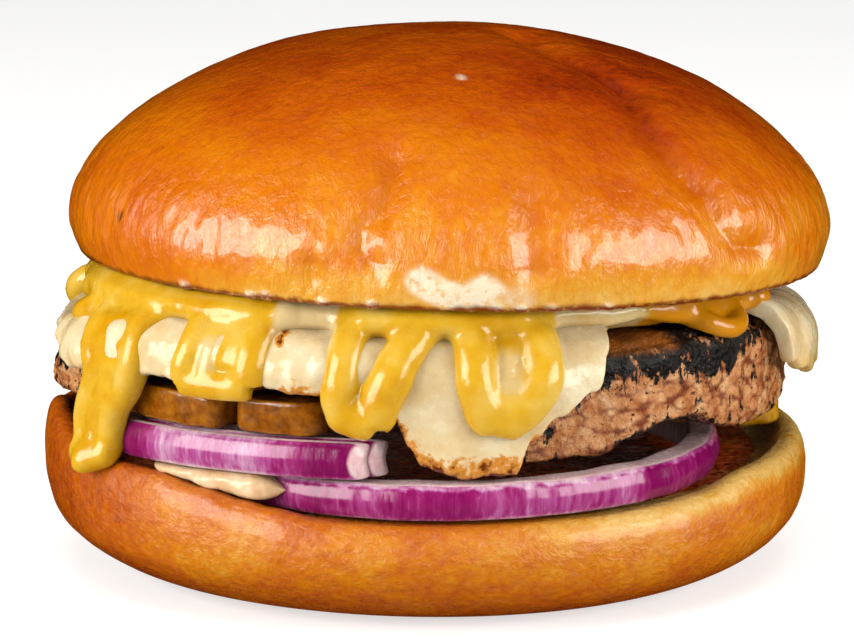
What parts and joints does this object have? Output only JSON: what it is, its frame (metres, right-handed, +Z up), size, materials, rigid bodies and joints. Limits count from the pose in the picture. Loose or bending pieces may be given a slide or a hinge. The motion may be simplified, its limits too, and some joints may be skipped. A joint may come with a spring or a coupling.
{
  "type": "hamburger",
  "caption": "Hamburger on a glossy domed bun, with seared beef patty, melted cheese, dripping yellow cheese sauce, pickle chips and red onion rings.",
  "frame": {"origin": "middle of the flat underside of the bun's heel", "axes": "+Z up through the layers, -Y towards the side where the yellow sauce and the cheese corner hang lowest"},
  "size_m": [0.1128, 0.1116, 0.0759],
  "materials": {
    "crown": "glossy baked brioche crust, golden to red-brown, with fine wrinkles",
    "heel": "glossy baked crust with a toasted cut face",
    "patty": "seared ground beef, black char on the shoulder and moist brown sides",
    "cheese": "melted pale cheese, satin, browned at its lowest hem",
    "sauce": "smooth glossy yellow cheese sauce",
    "onion": "wet purple onion skin with pale streaks and pale cut edges",
    "pickle": "wet olive-brown pickle"
  },
  "bodies": {
    "root": {"bun_crown": "crown", "bun_heel": "heel", "cheese": "cheese", "cheese_sauce": "sauce", "onion_ring_front": "onion", "onion_arc_left_outer": "onion", "onion_arc_left_inner": "onion", "onion_arc_back": "onion", "patty": "patty", "pickle_front_left": "pickle", "pickle_front_middle": "pickle", "pickle_right": "pickle", "pickle_back": "pickle"}
  },
  "joints": []
}
